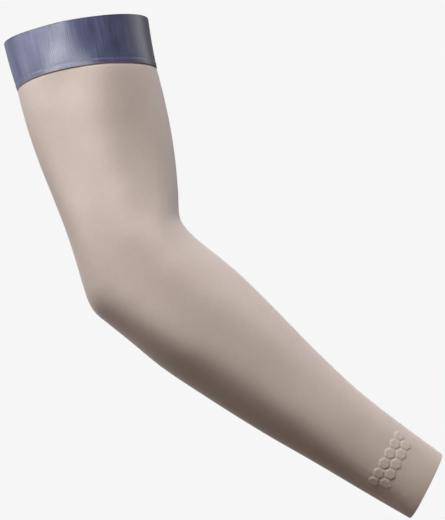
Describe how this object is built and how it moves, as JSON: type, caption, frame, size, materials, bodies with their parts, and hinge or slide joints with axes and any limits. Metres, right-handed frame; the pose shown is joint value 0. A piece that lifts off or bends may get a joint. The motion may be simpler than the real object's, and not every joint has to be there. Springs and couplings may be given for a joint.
{
  "type": "arm warmer",
  "caption": "Stretch-knit arm warmer held in its worn shape, bent at the elbow, with a plain cut wrist edge and a satin elastic band round the upper opening.",
  "frame": {"origin": "centre of the upper opening, where the wearer's arm goes in", "axes": "+Z from the centre of the wrist opening to the centre of the upper opening, +X towards the inner side of the elbow, +Y across the bend plane"},
  "size_m": [0.1597, 0.093, 0.4484],
  "materials": {
    "knit": "fine smooth stretch knit, matte with a soft sheen, taupe",
    "elastic": "satin woven elastic, slate blue"
  },
  "bodies": {
    "root": {"sleeve": "knit", "upper_band": "elastic"}
  },
  "joints": []
}
